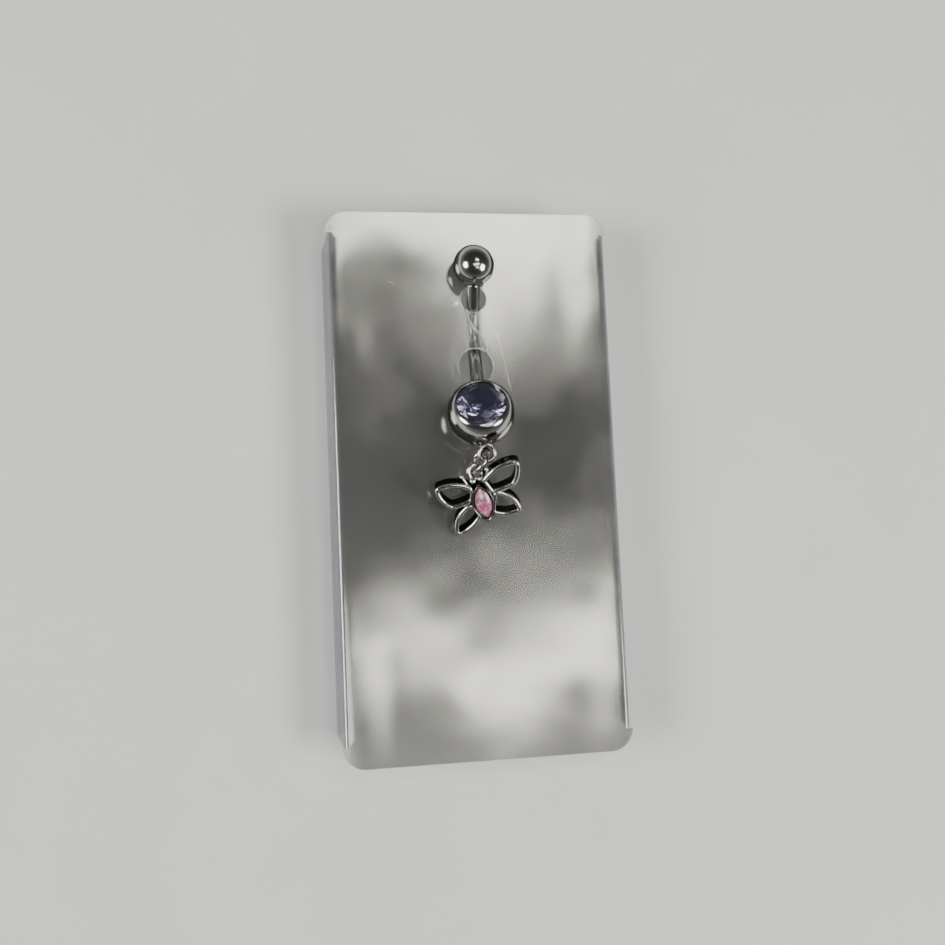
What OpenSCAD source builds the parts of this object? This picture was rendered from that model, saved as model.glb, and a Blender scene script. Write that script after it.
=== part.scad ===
// Navel ring held in a clear folded display card that lies face up.
// Millimetres. +X right, +Y towards the small ball, +Z out of the card's face.
// The card stands on its folded edges at z = 0, and the origin is the middle of that footprint.

/* [Card] */
// Width of the card over its two folds
card_width = 35; // [34:0.1:36]
// Length of the card along its folds
card_length = 67.2; // [66:0.1:68.4]
// Height of the face above the surface the card lies on
card_depth = 6.4; // [6.2:0.05:6.8]
// Thickness of the clear sheet
sheet = 0.3; // [0.26:0.01:0.32]
// How far each folded edge leans outwards, degrees
fold_splay = 3.5; // [2:0.5:5]
// Outside radius of the fold
fold_radius = 0.6; // [0.5:0.05:0.8]
// Radius of the face's corners
corner_radius = 2.9; // [2.6:0.1:3.2]
// How far the corner tips stand out past the fold
corner_tip = 0.3; // [0.2:0.05:0.4]
// Distance from the card's end to the end of a folded edge, at the fold
fold_end = 2.7; // [2.5:0.1:3]
// How much further in the folded edge ends at its free side
fold_end_slant = 1.0; // [0.6:0.1:1.4]

/* [Holes and slit] */
// Room around the bar in the upper hole
hole_clearance = 0.12; // [0.1:0.01:0.2]
// How much longer the lower hole is than the bar needs
lower_hole_extra = 1.2; // [1.1:0.05:1.4]
// Width of the slit between the holes
slit_width = 0.16; // [0.12:0.02:0.2]

/* [Bar] */
// Diameter of the curved bar
bar_d = 1.6; // [1.5:0.02:1.64]
// Distance between the centres of the two balls
ball_span = 18.4; // [18.2:0.05:18.7]
// Slope of the bar's upper leg where it leaves the card, degrees
top_slope = 37.8; // [37.4:0.2:38.6]
// Slope of the bar's lower leg, degrees
low_slope = 35.6; // [35.2:0.2:36.2]
// Radius of the bar's bend
bend_radius = 6; // [5.6:0.1:6.2]
// Diameter of the threaded end
thread_d = 1.2; // [1.1:0.02:1.26]
// Length of the threaded end
thread_length = 2.2; // [1.8:0.1:2.4]

/* [Balls] */
// Diameter of the small ball that screws off
top_ball_d = 5; // [4.9:0.05:5.1]
// Diameter of the large ball that holds the round stone
low_ball_d = 8; // [7.8:0.05:8.1]
// Small gap between a ball and the card that it rests on
rest_gap = 0.06; // [0.05:0.01:0.08]
// How far the ring is rolled to its side, degrees
ring_roll = 6.5; // [5:0.5:8]
// Distance of the small ball's centre from the card's upper end
ring_inset = 7.45; // [7.2:0.05:7.8]

/* [Round stone] */
// Diameter of the round stone
round_d = 6; // [5.9:0.05:6.1]
// Height of the polished rim above the large ball's centre
rim_height = 2.25; // [2.15:0.05:2.35]
// How far the stone faces up the card, degrees
stone_tilt = 26; // [22:1:30]
// How far the stone faces to the left, degrees
stone_roll = 8; // [6:1:10]

/* [Links] */
// Wire of the jump ring
jump_wire = 0.6; // [0.54:0.01:0.62]
// Mean radius of the jump ring
jump_radius = 1.7; // [1.69:0.005:1.71]
// Radial thickness of the soldered eyelet
eyelet_wire = 0.5; // [0.44:0.01:0.52]
// Mean radius of the eyelet
eyelet_radius = 0.93; // [0.92:0.005:0.96]
// Height of the eyelet's centre above the card's face
eyelet_height = 4.6; // [4.59:0.005:4.61]
// Wire of the drop's head loop
loop_wire = 0.5; // [0.44:0.01:0.51]
// Mean radius of the drop's head loop
loop_radius = 0.87; // [0.86:0.005:0.89]

/* [Butterfly drop] */
// Width of the drop over its wing tips
drop_width = 11; // [10.8:0.1:11.2]
// Thickness of the walls around the pierced cells
wing_wall = 0.55; // [0.48:0.01:0.6]
// Depth of the wing walls
wing_depth = 1.9; // [1.8:0.05:2]
// Length of the marquise stone
marquise_length = 4.1; // [4:0.05:4.2]
// Width of the marquise stone
marquise_width = 2; // [1.9:0.05:2.1]
// Wall of the marquise setting beside the stone
bezel_wall = 0.35; // [0.3:0.01:0.4]
// How far the setting stands above the wings
bezel_rise = 0.25; // [0.2:0.05:0.3]
// How far the marquise stone's dome rises above the wings
dome_rise = 0.36; // [0.3:0.02:0.4]
// Diameter of the head's two beads
bead_d = 0.92; // [0.84:0.02:0.96]
// Diameter of the feelers
feeler_d = 0.4; // [0.36:0.02:0.42]

/* [Hidden] */
$fn = 48;

steel = [0.78, 0.78, 0.80];
seat_gap = 0.04;
thread_gap = 0.03;
face_z = card_depth;

// The ring in its own plane: the chord runs from the small ball's centre to the large one's,
// tilted because both balls rest on the card, and the bar hangs below it in two straight legs and a bend.
top_h = top_ball_d / 2 + rest_gap;
low_h = low_ball_d / 2 + rest_gap;
chord_tilt = asin((low_h - top_h) / ball_span);
ring_turn = 0.75;
top_at = [0, card_length / 2 - ring_inset, face_z + top_h];
low_at = top_at + ball_span * [
    -sin(ring_turn) * cos(chord_tilt),
    -cos(ring_turn) * cos(chord_tilt),
    sin(chord_tilt)
];
leg_a = top_slope + chord_tilt;
leg_b = low_slope - chord_tilt;
apex_a = ball_span * sin(leg_b) / sin(leg_a + leg_b);
apex_b = ball_span * sin(leg_a) / sin(leg_a + leg_b);
tangent = bend_radius * tan((leg_a + leg_b) / 2);
stub_end = top_ball_d / 2 - 0.22;
// Each leg laps a little over the bend, which is a hair thinner.
leg_lap = 0.25;

// Where a leg crosses the middle of the sheet, measured along the leg from its ball's centre.
function cross_top() = (top_h + sheet / 2)
    / (sin(leg_a) * cos(ring_roll) * cos(chord_tilt) - cos(leg_a) * sin(chord_tilt));
function cross_low() = (low_h + sheet / 2)
    / (sin(leg_b) * cos(ring_roll) * cos(chord_tilt) + cos(leg_b) * sin(chord_tilt));
// A point of the ring's plane, given along and below the chord, in the card's frame.
function from_chord(x, z) = let (
    side = -z * sin(ring_roll),
    up = z * cos(ring_roll),
    ahead = x * cos(chord_tilt) - up * sin(chord_tilt),
    rise = x * sin(chord_tilt) + up * cos(chord_tilt)
) top_at + [
    -ahead * sin(ring_turn) + side * cos(ring_turn),
    -ahead * cos(ring_turn) - side * sin(ring_turn),
    rise
];
at_top_hole = from_chord(cross_top() * cos(leg_a), -cross_top() * sin(leg_a));
at_low_hole = from_chord(ball_span - cross_low() * cos(leg_b), -cross_low() * sin(leg_b));
top_hole_d = bar_d / sin(top_slope) + sheet / tan(top_slope) + 2 * hole_clearance;
low_hole_d = bar_d / sin(low_slope) + sheet / tan(low_slope) + lower_hole_extra;
low_hole_shift = 0.42 * lower_hole_extra;
top_hole = [at_top_hole.x, at_top_hole.y];
low_hole = [at_low_hole.x, at_low_hole.y + low_hole_shift];

// Eyelet, jump ring and head loop. Each hangs from the one before.
eyelet_reach = low_ball_d / 2 + eyelet_radius + eyelet_wire / 2 - 0.23;
eyelet_side = 0.05375 * low_ball_d;
eyelet_out = sqrt(pow(eyelet_reach, 2) - pow(eyelet_side, 2) - pow(eyelet_height - low_h, 2));
eyelet_at = [low_at.x + eyelet_side, low_at.y - eyelet_out, face_z + eyelet_height];
jump_at = eyelet_at + jump_radius * [-0.5547, -0.5453, -0.44];
loop_at = eyelet_at + jump_radius * [-0.8953, -1.3, -0.0065];

// The drop hangs from its head loop, and its pitch is the one that brings its lowest corner down to the card.
drop_scale = drop_width / 11;
seat_depth = 0.37 * wing_depth;
drop_roll = -15.8;
drop_turn = 13.3;
loop_in_drop = [0.1 * drop_scale, 3.53 * drop_scale, -0.779 * wing_depth];
low_corner = concat(
    drop_scale * [-3.8, -2.95] + wing_wall * [-0.55, -0.835],
    [-wing_depth]
);
hang = loop_in_drop - low_corner;
hang_height = loop_at.z - face_z - rest_gap;
pitch_sine = (hang_height + sin(drop_roll) * hang.x) / (cos(drop_roll) * norm([hang.y, hang.z]));
drop_pitch = asin(pitch_sine) - atan2(hang.z, hang.y);

// Wing cells: corners [x, y, bulge of the edge that follows] for a drop 11 wide, anticlockwise.
upper_right = [[1.15, 2.55, 0], [1.6, 1.25, 0.05], [3.9, 1.55, 0.22], [4.85, 3.62, 0.42]];
upper_left = [[-1.3, 2.1, 0.36], [-4.55, 2.95, 0.28], [-3.6, 0.7, 0.08], [-1.5, 0.9, 0.15]];
lower_right = [[1.8, 0.4, 0], [1.15, -1.45, 0.3], [3.62, -2, 0.48]];
lower_left = [[-1.75, -0.3, 0.48], [-3.8, -2.95, 0.26], [-1.15, -1.5, 0.07]];
cells = [upper_right, upper_left, lower_right, lower_left];
// Feelers: foot x, y for a drop 11 wide, its share of the wings' depth, then the tip's x, y and share.
feelers = [[-1.25, 2.45, 0.316, -1.55, 3.75, 0.316], [1.35, 2.6, 0.289, 1.5, 3.95, 0.184]];

// Points of one bowed edge, without its last point.
function edge(a, b, bulge, n) = let (d = b - a, out = [d.y, -d.x] / norm(d))
    [for (i = [0:n - 1]) let (t = i / n) a + d * t + out * 4 * bulge * t * (1 - t)];
function outline(c, n) = [
    for (k = [0:len(c) - 1])
        let (a = drop_scale * c[k], b = drop_scale * c[(k + 1) % len(c)])
        each edge([a.x, a.y], [b.x, b.y], a.z, n)
];
// The same outline grown by w, with rounded corners.
function grown(p, w) = [
    for (i = [0:len(p) - 1])
        let (
            u = p[i] - p[(i + len(p) - 1) % len(p)],
            v = p[(i + 1) % len(p)] - p[i],
            start = atan2(-u.x, u.y),
            turn = atan2(u.x * v.y - u.y * v.x, u.x * v.x + u.y * v.y),
            steps = max(1, ceil(turn / 15))
        )
        for (j = [0:steps])
            if (turn > 12 || j == 0)
                let (a = turn > 12 ? start + turn * j / steps : start + turn / 2)
                p[i] + w / (turn > 12 ? 1 : cos(turn / 2)) * [cos(a), sin(a)]
];

// Places things drawn in the ring's plane, with x along the chord and z up.
module on_chord() {
    translate(top_at)
        rotate([0, 0, -90 - ring_turn])
            rotate([0, -chord_tilt, 0])
                rotate([ring_roll, 0, 0])
                    children();
}

// Places things drawn on the upper leg's axis, with z from the small ball's centre along the bar.
module on_top_leg() {
    on_chord() rotate([0, 90 + leg_a, 0]) children();
}

module on_low_leg() {
    on_chord() translate([ball_span, 0, 0]) rotate([0, -90 - leg_b, 0]) children();
}

// Places things drawn on the round stone's axis, with z out of the setting.
module in_cup() {
    translate(low_at) rotate([-stone_tilt, -stone_roll, 0]) children();
}

module in_drop() {
    translate(loop_at)
        rotate([drop_pitch, drop_roll, drop_turn])
            translate(-loop_in_drop)
                children();
}

module ring_of(mean, wire) {
    rotate_extrude() translate([mean, 0]) circle(d = wire);
}

// An upright marquise: the part that two circles share, widening by flare on the way up.
module marquise(length, width, z0, z1, flare = 0) {
    r = (pow(width / 2, 2) + pow(length / 2, 2)) / width;
    intersection_for (s = [-1, 1])
        translate([s * (r - width / 2), 0, z0])
            cylinder(h = z1 - z0, r1 = r, r2 = r + flare);
}

module fold_profile() {
    lean = [sin(fold_splay), -cos(fold_splay)];
    out = [cos(fold_splay), sin(fold_splay)];
    c = [card_width / 2 - fold_radius, -fold_radius];
    inner = fold_radius - sheet;
    down = function (p) p + lean * (card_depth + p.y) / cos(fold_splay);
    polygon(concat(
        [for (i = [0:8]) let (a = 90 - (90 - fold_splay) * i / 8) c + fold_radius * [cos(a), sin(a)]],
        [down(c + fold_radius * out), down(c + inner * out)],
        [for (i = [8:-1:0]) let (a = 90 - (90 - fold_splay) * i / 8) c + inner * [cos(a), sin(a)]],
        [[c.x - 1, -sheet], [c.x - 1, 0]]
    ));
}

module folded_edge() {
    reach = card_length / 2 - fold_end;
    intersection() {
        translate([0, reach, face_z])
            rotate([90, 0, 0])
                linear_extrude(2 * reach)
                    fold_profile();
        translate([card_width, 0, 0])
            rotate([90, 0, -90])
                linear_extrude(2 * card_width)
                    polygon([
                        [-reach, face_z + 1],
                        [-reach, face_z - fold_radius],
                        [-reach + fold_end_slant, -1],
                        [reach - fold_end_slant, -1],
                        [reach, face_z - fold_radius],
                        [reach, face_z + 1]
                    ]);
    }
}

module face_plate() {
    x = card_width / 2 + corner_tip - corner_radius;
    y = card_length / 2 - corner_radius;
    reach = card_length / 2 - fold_end;
    inside = card_width / 2 - fold_radius - 0.5;
    translate([0, 0, face_z - sheet]) {
        translate([-inside, -reach - 0.5, 0]) cube([2 * inside, 2 * reach + 1, sheet]);
        for (m = [0, 1])
            mirror([0, m, 0]) {
                translate([-x, y, 0]) cube([2 * x, corner_radius, sheet]);
                intersection() {
                    union() {
                        for (s = [-1, 1])
                            translate([s * x, y, 0]) cylinder(h = sheet, r = corner_radius);
                        translate([-x, y - corner_radius, 0])
                            cube([2 * x, corner_radius, sheet]);
                    }
                    translate([-card_width, reach, 0])
                        cube([2 * card_width, corner_radius + 1, sheet]);
                }
            }
    }
}

// The slit runs in a gentle S from the upper hole's lower left to the lower hole's upper right.
module slit() {
    a = top_hole + (top_hole_d / 2 - 0.2) * [cos(213), sin(213)];
    b = low_hole + (low_hole_d / 2 - 0.2) * [cos(42), sin(42)];
    along = (b - a) / norm(b - a);
    out = [along.y, -along.x];
    n = 12;
    mid = [for (i = [0:n]) let (t = i / n) a + (b - a) * t + out * 0.28 * sin(360 * t)];
    translate([0, 0, face_z - sheet - 1])
        linear_extrude(sheet + 2)
            polygon(concat(
                [for (i = [0:n]) mid[i] + out * slit_width / 2],
                [for (i = [n:-1:0]) mid[i] - out * slit_width / 2]
            ));
}

module display_card() {
    color([0.75, 0.78, 0.82, 0.35])
        difference() {
            union() {
                face_plate();
                folded_edge();
                mirror([1, 0, 0]) folded_edge();
            }
            translate([top_hole.x, top_hole.y, face_z - sheet - 1])
                cylinder(h = sheet + 2, d = top_hole_d);
            translate([low_hole.x, low_hole.y, face_z - sheet - 1])
                cylinder(h = sheet + 2, d = low_hole_d);
            slit();
        }
}

module bend() {
    // The bend's centre lies above the apex, on the line that halves the angle between the legs.
    lift = bend_radius / cos((leg_a + leg_b) / 2);
    lean = (leg_a - leg_b) / 2;
    on_chord()
        translate([apex_a * cos(leg_a) + lift * sin(lean), 0, -apex_a * sin(leg_a) + lift * cos(lean)])
            rotate([90, 0, 0])
                rotate([0, 0, -90 - leg_a])
                    rotate_extrude(angle = leg_a + leg_b)
                        translate([bend_radius, 0]) circle(d = bar_d - 0.02);
}

module cup() {
    r = low_ball_d / 2;
    stone_r = round_d / 2 + seat_gap;
    girdle = rim_height - 0.22;
    pavilion = 0.43 * round_d;
    difference() {
        sphere(r = r);
        translate([-r, -r, rim_height]) cube(2 * r);
        rotate_extrude()
            polygon([
                [0, girdle - 0.16 - pavilion - 0.1],
                [stone_r, girdle - 0.16 - seat_gap],
                [stone_r, girdle + 0.1],
                [stone_r - 0.11, rim_height],
                [stone_r - 0.11, rim_height + 1],
                [0, rim_height + 1]
            ]);
    }
}

// Curved bar, stone cup and eyelet, joined in one piece of metal.
module bar_and_cup() {
    color(steel) {
        on_top_leg() {
            translate([0, 0, stub_end + seat_gap])
                cylinder(h = apex_a - tangent - stub_end - seat_gap + leg_lap, d = bar_d);
            translate([0, 0, stub_end + seat_gap - thread_length])
                cylinder(h = thread_length + 0.1, d = thread_d);
        }
        bend();
        on_low_leg()
            translate([0, 0, 2.2])
                cylinder(h = apex_b - tangent - 2.2 + leg_lap, d = bar_d);
        in_cup() cup();
        translate(eyelet_at) rotate([5.1, -8, 0]) ring_of(eyelet_radius, eyelet_wire);
    }
}

module top_ball() {
    color(steel)
        on_top_leg()
            difference() {
                sphere(d = top_ball_d);
                translate([0, 0, stub_end]) cylinder(h = top_ball_d, d = bar_d + 2 * seat_gap);
                translate([0, 0, stub_end - thread_length - 0.2])
                    cylinder(h = thread_length + 0.3, d = thread_d + 2 * thread_gap);
            }
}

// Round brilliant: an eight-sided table, star, kite and half facets, a thin girdle and a pointed pavilion.
module brilliant(d, girdle_z) {
    r = d / 2;
    table_r = 0.575 * r;
    crown_h = 0.15 * d;
    pavilion_h = 0.43 * d;
    girdle_h = 0.16;
    star_r = 0.8 * r;
    star_z = girdle_z + crown_h * (r - star_r * cos(22.5)) / (r - table_r);
    low_r = 0.3 * r;
    low_z = girdle_z - girdle_h - pavilion_h * (r - low_r * cos(22.5)) / r;
    points = concat(
        [for (i = [0:7]) [table_r * cos(45 * i), table_r * sin(45 * i), girdle_z + crown_h]],
        [for (i = [0:7]) [star_r * cos(45 * i + 22.5), star_r * sin(45 * i + 22.5), star_z]],
        [for (i = [0:15]) [r * cos(22.5 * i), r * sin(22.5 * i), girdle_z]],
        [for (i = [0:15]) [r * cos(22.5 * i), r * sin(22.5 * i), girdle_z - girdle_h]],
        [for (i = [0:7]) [low_r * cos(45 * i + 22.5), low_r * sin(45 * i + 22.5), low_z]],
        [[0, 0, girdle_z - girdle_h - pavilion_h]]
    );
    faces = concat(
        [[for (i = [7:-1:0]) i]],
        [for (i = [0:7]) [i, (i + 1) % 8, 8 + i]],
        [for (i = [0:7]) [i, 8 + i, 16 + 2 * i]],
        [for (i = [0:7]) [i, 16 + 2 * i, 8 + (i + 7) % 8]],
        [for (i = [0:7]) [8 + i, 17 + 2 * i, 16 + 2 * i]],
        [for (i = [0:7]) [8 + i, 16 + (2 * i + 2) % 16, 17 + 2 * i]],
        [for (i = [0:15]) [16 + i, 16 + (i + 1) % 16, 32 + (i + 1) % 16]],
        [for (i = [0:15]) [16 + i, 32 + (i + 1) % 16, 32 + i]],
        [for (i = [0:7]) [48 + i, 32 + 2 * i, 33 + 2 * i]],
        [for (i = [0:7]) [48 + i, 33 + 2 * i, 32 + (2 * i + 2) % 16]],
        [for (i = [0:7]) [56, 32 + 2 * i, 48 + i]],
        [for (i = [0:7]) [56, 48 + (i + 7) % 8, 32 + 2 * i]]
    );
    polyhedron(points, faces);
}

module round_stone() {
    color([0.5, 0.52, 0.78])
        in_cup() brilliant(round_d, rim_height - 0.22);
}

module jump_ring() {
    color(steel)
        translate(jump_at) rotate([-32.5, -71.6, 0]) ring_of(jump_radius, jump_wire);
}

module feeler(a, b) {
    d = b - a;
    translate(a)
        rotate([0, acos(d.z / norm(d)), atan2(d.y, d.x)])
            cylinder(h = norm(d), d = feeler_d);
    translate(b) sphere(d = 1.3 * feeler_d);
}

// Cast butterfly: four pierced cells, the marquise setting, the head and its loop, in one piece of metal.
module butterfly_drop() {
    color(steel) {
        in_drop() {
            difference() {
                union() {
                    difference() {
                        union() {
                            for (c = cells)
                                translate([0, 0, -wing_depth])
                                    linear_extrude(wing_depth)
                                        polygon(grown(outline(c, 7), wing_wall));
                        }
                        for (c = cells)
                            translate([0, 0, -wing_depth - 1])
                                linear_extrude(wing_depth + 2) polygon(outline(c, 7));
                    }
                    marquise(
                        marquise_length + 2.4 * bezel_wall, marquise_width + 2 * bezel_wall,
                        -wing_depth, bezel_rise
                    );
                }
                marquise(
                    marquise_length + 2 * seat_gap, marquise_width + 2 * seat_gap,
                    -seat_depth, bezel_rise + 1
                );
                marquise(
                    marquise_length + 2 * seat_gap, marquise_width + 2 * seat_gap,
                    -0.02, bezel_rise + 0.02, bezel_wall / 2
                );
            }
            for (s = [-1, 1])
                translate([s * 0.565 * bead_d, 2.68 * drop_scale, -wing_depth / 1.9]) sphere(d = bead_d);
            for (f = feelers)
                feeler(
                    [f[0] * drop_scale, f[1] * drop_scale, -f[2] * wing_depth],
                    [f[3] * drop_scale, f[4] * drop_scale, -f[5] * wing_depth]
                );
        }
        translate(loop_at) rotate([16.8, 5.9, 0]) ring_of(loop_radius, loop_wire);
    }
}

// The dome is the part that a sphere, drawn along the stone, shares with a cylinder drawn across it.
module marquise_stone() {
    along = (pow(marquise_length / 2, 2) + pow(dome_rise, 2)) / (2 * dome_rise);
    across = (pow(marquise_width / 2, 2) + pow(dome_rise, 2)) / (2 * dome_rise);
    color([0.86, 0.55, 0.70])
        in_drop()
            intersection() {
                marquise(marquise_length, marquise_width, seat_gap - seat_depth, dome_rise + 1);
                translate([0, 0, dome_rise - along]) sphere(r = along);
                translate([0, marquise_length, dome_rise - across])
                    rotate([90, 0, 0])
                        cylinder(h = 2 * marquise_length, r = across);
            }
}

display_card();
bar_and_cup();
top_ball();
round_stone();
jump_ring();
butterfly_drop();
marquise_stone();
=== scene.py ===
"""Navel ring with a butterfly drop, held in a clear folded display card that lies face up.

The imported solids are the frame, and the pieces below are finished versions of them. Shapes are worked out in
millimetres, in the solids' own directions: +X right, +Y towards the small ball and +Z out of the card's face.
The named sizes repeat those of the solids, and put() turns millimetres into metres.
"""

import bpy
import numpy as np
from mathutils import Matrix, Vector
from mathutils.geometry import delaunay_2d_cdt


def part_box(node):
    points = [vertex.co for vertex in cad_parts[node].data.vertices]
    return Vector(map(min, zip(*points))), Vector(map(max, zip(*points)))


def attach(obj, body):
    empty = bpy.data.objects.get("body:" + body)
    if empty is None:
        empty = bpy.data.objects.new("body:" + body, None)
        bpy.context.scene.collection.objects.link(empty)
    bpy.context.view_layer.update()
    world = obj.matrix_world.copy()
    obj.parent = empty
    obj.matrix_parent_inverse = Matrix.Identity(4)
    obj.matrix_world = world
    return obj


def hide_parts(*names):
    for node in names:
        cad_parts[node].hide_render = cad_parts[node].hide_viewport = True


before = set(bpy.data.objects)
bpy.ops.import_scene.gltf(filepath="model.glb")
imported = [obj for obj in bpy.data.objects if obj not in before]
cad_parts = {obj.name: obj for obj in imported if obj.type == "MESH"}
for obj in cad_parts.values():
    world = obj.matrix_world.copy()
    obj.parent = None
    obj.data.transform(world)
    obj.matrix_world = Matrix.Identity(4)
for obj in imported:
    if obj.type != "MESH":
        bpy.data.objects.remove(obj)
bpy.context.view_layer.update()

MM = 0.001
RING_BODY, BALL_BODY = "card_and_ring", "ball"

# Card
SHEET = 0.3
FOLD_SPLAY = 3.5
FOLD_RADIUS = 0.6
CORNER_RADIUS = 2.9
CORNER_TIP = 0.3
FOLD_END = 2.7
FOLD_END_SLANT = 0.87
HOLE_CLEARANCE = 0.12
LOWER_HOLE_EXTRA = 1.2
LOWER_HOLE_SHIFT = 0.42 * LOWER_HOLE_EXTRA
SLIT_WIDTH = 0.16
SLIT_BOW = 0.28
SLIT_LAP = 0.2

# Bar and balls
BAR_D = 1.6
BALL_SPAN = 18.4
TOP_SLOPE = 37.8
LOW_SLOPE = 35.6
BEND_RADIUS = 6.0
LOW_LEG_START = 2.2
THREAD_D = 1.2
THREAD_LENGTH = 2.2
THREAD_PITCH = 0.3
THREAD_RIDGE = 0.1
THREAD_GAP = 0.03
SMALL_BALL_D = 5.0
LARGE_BALL_D = 8.0
REST_GAP = 0.06
RING_ROLL = 6.5
RING_TURN = 0.75
SEAT_GAP = 0.04
STUB_DEPTH = 0.22

# Stones
ROUND_D = 6.0
RIM_HEIGHT = 2.25
GIRDLE = 0.16
GIRDLE_TOP = RIM_HEIGHT - 0.22
CROWN = 0.15 * ROUND_D
PAVILION = 0.43 * ROUND_D
STONE_TILT = 26.0
STONE_ROLL = 8.0
STONE_TURN = 11.25
MARQUISE_LENGTH = 4.1
MARQUISE_WIDTH = 2.0
DOME_RISE = 0.36

# Links
JUMP_WIRE = 0.6
JUMP_RADIUS = 1.7
JUMP_CUT = 2.0
EYELET_WIRE = 0.5
EYELET_RADIUS = 0.93
EYELET_HEIGHT = 4.6
EYELET_SIDE = 0.43
EYELET_SINK = 0.23
LOOP_WIRE = 0.5
LOOP_RADIUS = 0.87

# Butterfly
WING_WALL = 0.55
WING_DEPTH = 1.9
WING_EDGE = 0.24
CELL_INSET = 0.12
BEZEL_WALL = 0.35
BEZEL_RISE = 0.25
SEAT_DEPTH = 0.37 * WING_DEPTH
BEAD_D = 0.92
FEELER_D = 0.4


def turn(x, y, z):
    """Turn by x, then y, then z degrees about the fixed axes, as a 3 by 3 array."""
    a, b, c = np.radians([x, y, z])
    about_x = np.array([[1, 0, 0], [0, np.cos(a), -np.sin(a)], [0, np.sin(a), np.cos(a)]])
    about_y = np.array([[np.cos(b), 0, np.sin(b)], [0, 1, 0], [-np.sin(b), 0, np.cos(b)]])
    about_z = np.array([[np.cos(c), -np.sin(c), 0], [np.sin(c), np.cos(c), 0], [0, 0, 1]])
    return about_z @ about_y @ about_x


class Place:
    """A set of axes in the frame: a shape drawn at the origin is turned by axes and moved to origin."""

    def __init__(self, origin, axes):
        """An origin in millimetres, and three axes as the columns of an array."""
        self.origin = np.array(origin, float)
        self.axes = axes

    def __call__(self, shape):
        """A shape, turned by the axes and moved to the origin."""
        points, faces = shape
        return points @ self.axes.T + self.origin, faces

    def at(self, x, y, z):
        """The frame's place of a point that is given along these axes."""
        return self.axes @ np.array([x, y, z], float) + self.origin

    def turned(self, x, y, z):
        """The same origin, with the axes turned about themselves."""
        return Place(self.origin, self.axes @ turn(x, y, z))


def box_mm(node):
    """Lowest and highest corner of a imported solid, in millimetres."""
    low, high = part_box(node)
    return np.array(low) / MM, np.array(high) / MM


def sin(degrees):
    """Sine of an angle in degrees."""
    return np.sin(np.radians(degrees))


def cos(degrees):
    """Cosine of an angle in degrees."""
    return np.cos(np.radians(degrees))


# Places that follow from the sizes, as in the solids' source
card_low, card_high = box_mm("display_card")
CARD_LENGTH = card_high[1] - card_low[1]
CARD_DEPTH = card_high[2]
CARD_WIDTH = 35.0
small_ball_at = np.mean(box_mm("top_ball"), axis=0)
top_height = SMALL_BALL_D / 2 + REST_GAP
low_height = LARGE_BALL_D / 2 + REST_GAP
chord_tilt = np.degrees(np.arcsin((low_height - top_height) / BALL_SPAN))
leg_a = TOP_SLOPE + chord_tilt
leg_b = LOW_SLOPE - chord_tilt
apex_a = BALL_SPAN * sin(leg_b) / sin(leg_a + leg_b)
apex_b = BALL_SPAN * sin(leg_a) / sin(leg_a + leg_b)
tangent = BEND_RADIUS * np.tan(np.radians(leg_a + leg_b) / 2)
stub_end = SMALL_BALL_D / 2 - STUB_DEPTH

chord = Place(small_ball_at, turn(RING_ROLL, -chord_tilt, -90 - RING_TURN))
large_ball_at = chord.at(BALL_SPAN, 0, 0)
top_leg = chord.turned(0, 90 + leg_a, 0)
low_leg = Place(large_ball_at, chord.axes @ turn(0, -90 - leg_b, 0))
cup_place = Place(large_ball_at, turn(-STONE_TILT, -STONE_ROLL, 0))

eyelet_reach = LARGE_BALL_D / 2 + EYELET_RADIUS + EYELET_WIRE / 2 - EYELET_SINK
eyelet_out = np.sqrt(eyelet_reach**2 - EYELET_SIDE**2 - (EYELET_HEIGHT - low_height) ** 2)
eyelet_at = np.array(
    [large_ball_at[0] + EYELET_SIDE, large_ball_at[1] - eyelet_out, CARD_DEPTH + EYELET_HEIGHT]
)
jump_way = np.array([-0.5547, -0.5453, -0.44])
loop_way = np.array([-0.8953, -1.3, -0.0065])
jump_at = eyelet_at + JUMP_RADIUS * jump_way
loop_at = eyelet_at + JUMP_RADIUS * loop_way
eyelet_place = Place(eyelet_at, turn(5.1, -8, 0))
jump_place = Place(jump_at, turn(-32.5, -71.6, 0))
loop_place = Place(loop_at, turn(16.8, 5.9, 0))

# Wing cells: corners [x, y, bulge of the edge that follows], anticlockwise
CELLS = {
    "upper_right": [(1.15, 2.55, 0), (1.6, 1.25, 0.05), (3.9, 1.55, 0.22), (4.85, 3.62, 0.42)],
    "upper_left": [(-1.3, 2.1, 0.36), (-4.55, 2.95, 0.28), (-3.6, 0.7, 0.08), (-1.5, 0.9, 0.15)],
    "lower_right": [(1.8, 0.4, 0), (1.15, -1.45, 0.3), (3.62, -2, 0.48)],
    "lower_left": [(-1.75, -0.3, 0.48), (-3.8, -2.95, 0.26), (-1.15, -1.5, 0.07)],
}
# Feelers: foot x, y and depth, then tip x, y and depth
FEELERS = [(-1.25, 2.45, 0.6, -1.55, 3.75, 0.6), (1.35, 2.6, 0.55, 1.5, 3.95, 0.35)]


def drop_place():
    """The drop hangs from its head loop, pitched so that its lowest corner comes down to the card."""
    roll, yaw = -15.8, 13.3
    loop_in_drop = np.array([0.1, 3.53, -0.779 * WING_DEPTH])
    tip_x, tip_y, _ = CELLS["lower_left"][1]
    low_corner = np.array([tip_x - 0.55 * WING_WALL, tip_y - 0.835 * WING_WALL, -WING_DEPTH])
    hang = loop_in_drop - low_corner
    rise = loop_at[2] - CARD_DEPTH - REST_GAP
    sine = (rise + sin(roll) * hang[0]) / (cos(roll) * np.hypot(hang[1], hang[2]))
    pitch = np.degrees(np.arcsin(sine) - np.arctan2(hang[2], hang[1]))
    axes = turn(pitch, roll, yaw)
    return Place(loop_at - axes @ loop_in_drop, axes)


# Shapes: each is (points, [blocks of faces])


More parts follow.
